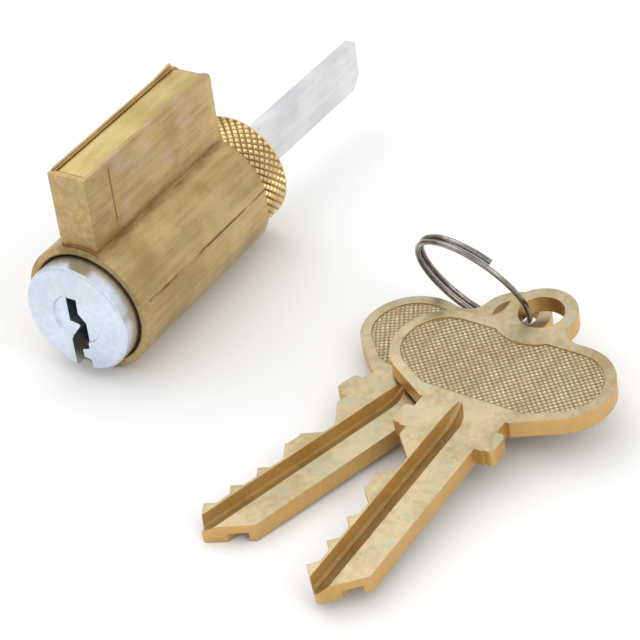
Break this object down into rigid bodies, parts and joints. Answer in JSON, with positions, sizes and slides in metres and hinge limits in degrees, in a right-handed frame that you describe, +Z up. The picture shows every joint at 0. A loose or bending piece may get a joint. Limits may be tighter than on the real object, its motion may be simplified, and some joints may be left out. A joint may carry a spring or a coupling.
{
  "type": "knob lock cylinder with keys",
  "caption": "Pin tumbler cylinder for a door knob: round body with a raised bible, keyed plug, knurled screw cap and flat tailpiece, with cut keys on a split ring.",
  "frame": {"origin": "on the plug's axis, at the front plane of the shell's collar", "axes": "+Y along the plug's axis from the head to the tailpiece, +Z up through the bible, +X to the right seen from the keyway side"},
  "size_m": [0.0716, 0.0878, 0.0272],
  "materials": {
    "shell_brass": "aged, drawn and machined, satin",
    "plug_nickel": "satin nickel plate",
    "cap_brass": "bright, knurled",
    "strip_brass": "rolled strip, satin",
    "pin_brass": "turned, bright",
    "spring_steel": "drawn wire",
    "tailpiece_zinc": "pale zinc plate, satin",
    "key_brass": "nickel-bearing brass, tumbled",
    "ring_steel": "bright nickel plate"
  },
  "bodies": {
    "housing": {"shell": "shell_brass", "spring_cover": "strip_brass", "pin_spring_1": "spring_steel", "pin_spring_2": "spring_steel", "pin_spring_3": "spring_steel", "pin_spring_4": "spring_steel", "pin_spring_5": "spring_steel"},
    "plug_assembly": {"plug": "plug_nickel", "screw_cap": "cap_brass", "cap_pin_spring": "spring_steel"},
    "cap_pin": {"cap_pin": "pin_brass"},
    "tailpiece": {"tailpiece": "tailpiece_zinc"},
    "key_pin_1": {"key_pin_1": "pin_brass"},
    "key_pin_2": {"key_pin_2": "pin_brass"},
    "key_pin_3": {"key_pin_3": "pin_brass"},
    "key_pin_4": {"key_pin_4": "pin_brass"},
    "key_pin_5": {"key_pin_5": "pin_brass"},
    "driver_pin_1": {"driver_pin_1": "pin_brass"},
    "driver_pin_2": {"driver_pin_2": "pin_brass"},
    "driver_pin_3": {"driver_pin_3": "pin_brass"},
    "driver_pin_4": {"driver_pin_4": "pin_brass"},
    "driver_pin_5": {"driver_pin_5": "pin_brass"},
    "split_ring": {"split_ring": "ring_steel"},
    "key_a": {"key_a": "key_brass"},
    "key_b": {"key_b": "key_brass"}
  },
  "joints": [
    {"name": "plug_turn", "type": "hinge", "parent": "housing", "child": "plug_assembly", "pos_m": [0, 0, 0], "axis": [0, 1, 0], "continuous": true},
    {"name": "tailpiece_swing", "type": "hinge", "parent": "plug_assembly", "child": "tailpiece", "pos_m": [0, 0.0312, 0], "axis": [0, 1, 0], "range_deg": [-14, 14]},
    {"name": "cap_pin_press", "type": "slide", "parent": "plug_assembly", "child": "cap_pin", "axis": [0, -1, 0], "range_m": [0, 0.0006], "stiffness_N_per_m": 120, "springref_m": -0.002, "deforming": ["cap_pin_spring"]},
    {"name": "key_pin_1_drop", "type": "slide", "parent": "plug_assembly", "child": "key_pin_1", "axis": [0, 0, -1], "range_m": [0, 0.0014]},
    {"name": "key_pin_2_drop", "type": "slide", "parent": "plug_assembly", "child": "key_pin_2", "axis": [0, 0, -1], "range_m": [0, 0.0014]},
    {"name": "key_pin_3_drop", "type": "slide", "parent": "plug_assembly", "child": "key_pin_3", "axis": [0, 0, -1], "range_m": [0, 0.0014]},
    {"name": "key_pin_4_drop", "type": "slide", "parent": "plug_assembly", "child": "key_pin_4", "axis": [0, 0, -1], "range_m": [0, 0.0014]},
    {"name": "key_pin_5_drop", "type": "slide", "parent": "plug_assembly", "child": "key_pin_5", "axis": [0, 0, -1], "range_m": [0, 0.0014]},
    {"name": "driver_pin_1_lift", "type": "slide", "parent": "housing", "child": "driver_pin_1", "axis": [0, 0, 1], "range_m": [0, 0.0026], "stiffness_N_per_m": 80, "springref_m": -0.003, "deforming": ["pin_spring_1"]},
    {"name": "driver_pin_2_lift", "type": "slide", "parent": "housing", "child": "driver_pin_2", "axis": [0, 0, 1], "range_m": [0, 0.0026], "stiffness_N_per_m": 80, "springref_m": -0.003, "deforming": ["pin_spring_2"]},
    {"name": "driver_pin_3_lift", "type": "slide", "parent": "housing", "child": "driver_pin_3", "axis": [0, 0, 1], "range_m": [0, 0.0026], "stiffness_N_per_m": 80, "springref_m": -0.003, "deforming": ["pin_spring_3"]},
    {"name": "driver_pin_4_lift", "type": "slide", "parent": "housing", "child": "driver_pin_4", "axis": [0, 0, 1], "range_m": [0, 0.0026], "stiffness_N_per_m": 80, "springref_m": -0.003, "deforming": ["pin_spring_4"]},
    {"name": "driver_pin_5_lift", "type": "slide", "parent": "housing", "child": "driver_pin_5", "axis": [0, 0, 1], "range_m": [0, 0.0026], "stiffness_N_per_m": 80, "springref_m": -0.003, "deforming": ["pin_spring_5"]},
    {"name": "ring_lift", "type": "slide", "parent": "housing", "child": "split_ring", "axis": [0, 0, 1], "range_m": [0, 0.07]},
    {"name": "key_a_swing", "type": "hinge", "parent": "split_ring", "child": "key_a", "pos_m": [0.04465, 0.02363, -0.00556], "axis": [-0.0116, -0.0351, 0.9993], "range_deg": [-6, 6]},
    {"name": "key_b_swing", "type": "hinge", "parent": "split_ring", "child": "key_b", "pos_m": [0.04949, 0.0213, -0.00229], "axis": [-0.0042, -0.0796, 0.9968], "range_deg": [0, 75]}
  ]
}
